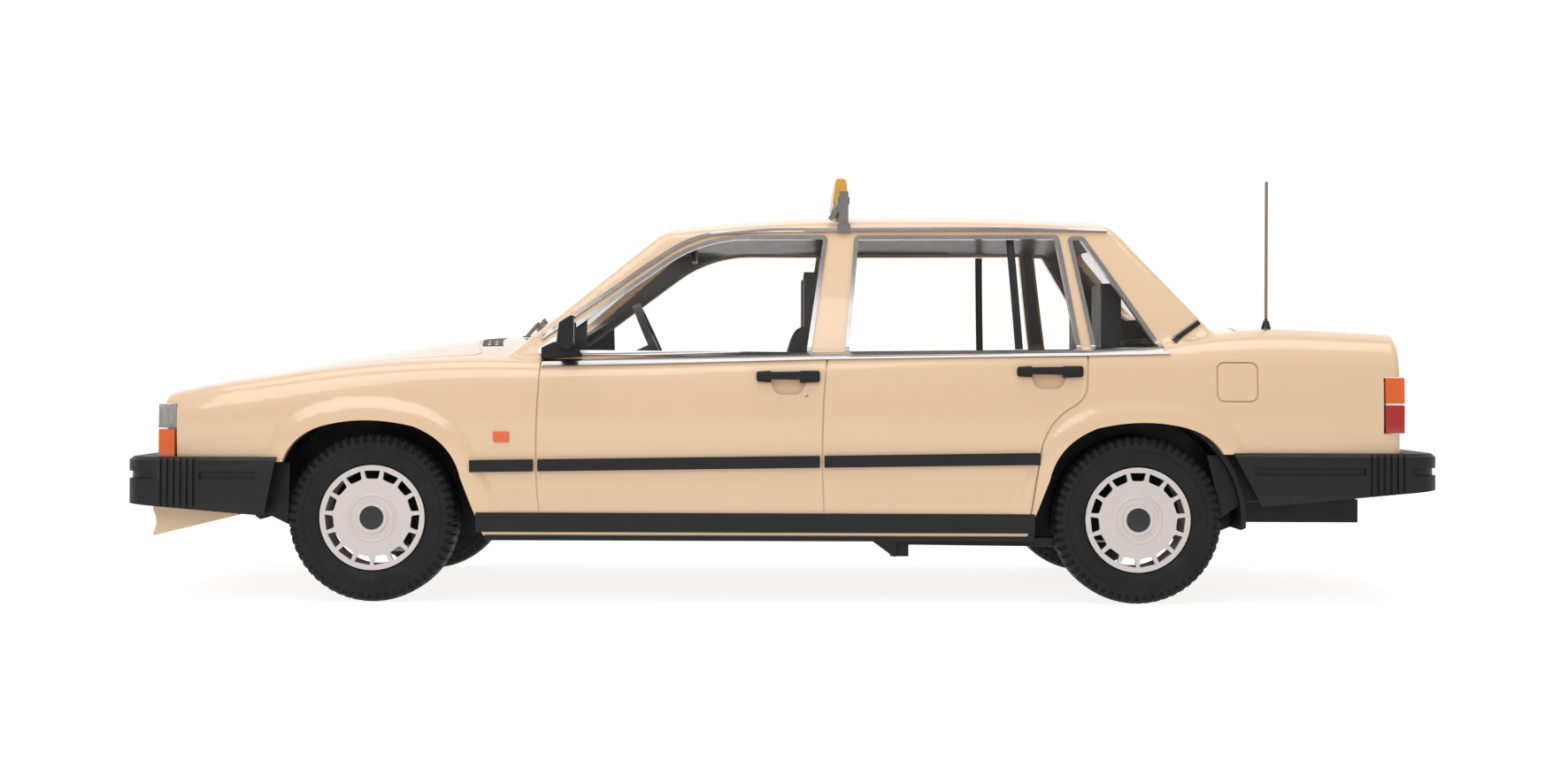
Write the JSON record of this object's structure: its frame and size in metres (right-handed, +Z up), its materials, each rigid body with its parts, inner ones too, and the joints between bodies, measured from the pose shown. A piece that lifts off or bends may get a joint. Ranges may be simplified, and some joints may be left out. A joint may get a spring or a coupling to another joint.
{
  "type": "scale model taxi saloon car",
  "caption": "Sealed die-cast scale model of a boxy four-door taxi saloon with a roof sign, rubber tyres, free-rolling wheels and linked front steering.",
  "frame": {"origin": "on the floor, below the middle of the model's length and width", "axes": "+X to the rear, -X to the nose, +Z up, the car's left side at -Y"},
  "size_m": [0.2658, 0.105, 0.0883],
  "materials": {
    "amber_lens": "polished transparent amber",
    "black_plastic": "fine grain",
    "body_paint": "gloss enamel",
    "bright_trim": "polished",
    "clear_glazing": "polished clear styrene",
    "clear_lens": "polished, moulded flutes",
    "grey_metal": "satin",
    "interior_plastic": "fine grain",
    "lining_plastic": "satin grey",
    "mirror_glass": "polished",
    "red_lens": "polished transparent red",
    "seat_plastic": "moulded seams",
    "silver_cover": "silver lacquer",
    "steel": "bright",
    "tyre_rubber": "moulded tread",
    "white_plastic": "blank",
    "yellow_lens": "translucent yellow"
  },
  "bodies": {
    "root": {"aerial": "black_plastic", "belt_strips": "bright_trim", "body_shell": "body_paint", "chassis": "black_plastic", "corner_lamps": "clear_lens", "cowl_tray": "black_plastic", "dashboard": "interior_plastic", "door_handles": "black_plastic", "door_mirrors": "black_plastic", "drip_rails": "bright_trim", "exhaust": "grey_metal", "front_bumper": "black_plastic", "front_indicators": "amber_lens", "front_seats": "seat_plastic", "front_subframe": "black_plastic", "front_valance": "body_paint", "grille": "bright_trim", "head_lining": "lining_plastic", "headlamp_lenses": "clear_lens", "headlamp_reflectors": "bright_trim", "interior_mirror": "black_plastic", "interior_tub": "interior_plastic", "mirror_glasses": "mirror_glass", "number_plates": "white_plastic", "parcel_shelf": "interior_plastic", "rear_axle": "steel", "rear_bumper": "black_plastic", "rear_seat": "seat_plastic", "rear_window": "clear_glazing", "roof_and_pillars": "body_paint", "roof_sign_frame": "grey_metal", "roof_sign_lens": "yellow_lens", "rub_strips": "black_plastic", "side_repeaters": "amber_lens", "side_windows": "clear_glazing", "sill_covers": "black_plastic", "steering_wheel": "interior_plastic", "tail_lamps_amber": "amber_lens", "tail_lamps_clear": "clear_lens", "tail_lamps_red": "red_lens", "window_bars": "black_plastic", "window_frames": "bright_trim", "windscreen": "clear_glazing", "wipers": "grey_metal"},
    "knuckle_left": {"knuckle_left": "steel"},
    "knuckle_right": {"knuckle_right": "steel"},
    "tie_rod": {"tie_rod": "steel"},
    "wheel_front_left": {"tyre_front_left": "tyre_rubber", "wheel_front_left": "silver_cover"},
    "wheel_front_right": {"tyre_front_right": "tyre_rubber", "wheel_front_right": "silver_cover"},
    "wheel_rear_left": {"tyre_rear_left": "tyre_rubber", "wheel_rear_left": "silver_cover"},
    "wheel_rear_right": {"tyre_rear_right": "tyre_rubber", "wheel_rear_right": "silver_cover"}
  },
  "joints": [
    {"name": "steer_left", "type": "hinge", "parent": "root", "child": "knuckle_left", "pos_m": [-0.08245, -0.0325, 0.017], "axis": [0, 0, 1], "range_deg": [-20, 20]},
    {"name": "steer_right", "type": "hinge", "parent": "root", "child": "knuckle_right", "pos_m": [-0.08245, 0.0325, 0.017], "axis": [0, 0, 1], "range_deg": [-20, 20]},
    {"name": "tie_rod_pivot", "type": "hinge", "parent": "knuckle_left", "child": "tie_rod", "pos_m": [-0.07445, -0.0325, 0.0115], "axis": [0, 0, 1], "range_deg": [-20, 20]},
    {"name": "roll_front_left", "type": "hinge", "parent": "knuckle_left", "child": "wheel_front_left", "pos_m": [-0.08245, -0.0407, 0.017], "axis": [0, 1, 0], "continuous": true},
    {"name": "roll_front_right", "type": "hinge", "parent": "knuckle_right", "child": "wheel_front_right", "pos_m": [-0.08245, 0.0407, 0.017], "axis": [0, 1, 0], "continuous": true},
    {"name": "roll_rear_left", "type": "hinge", "parent": "root", "child": "wheel_rear_left", "pos_m": [0.07145, -0.0407, 0.017], "axis": [0, 1, 0], "continuous": true},
    {"name": "roll_rear_right", "type": "hinge", "parent": "root", "child": "wheel_rear_right", "pos_m": [0.07145, 0.0407, 0.017], "axis": [0, 1, 0], "continuous": true}
  ],
  "couplings": [
    {"joint": "steer_right", "follows": "steer_left", "ratio": 1},
    {"joint": "tie_rod_pivot", "follows": "steer_left", "ratio": -1}
  ]
}
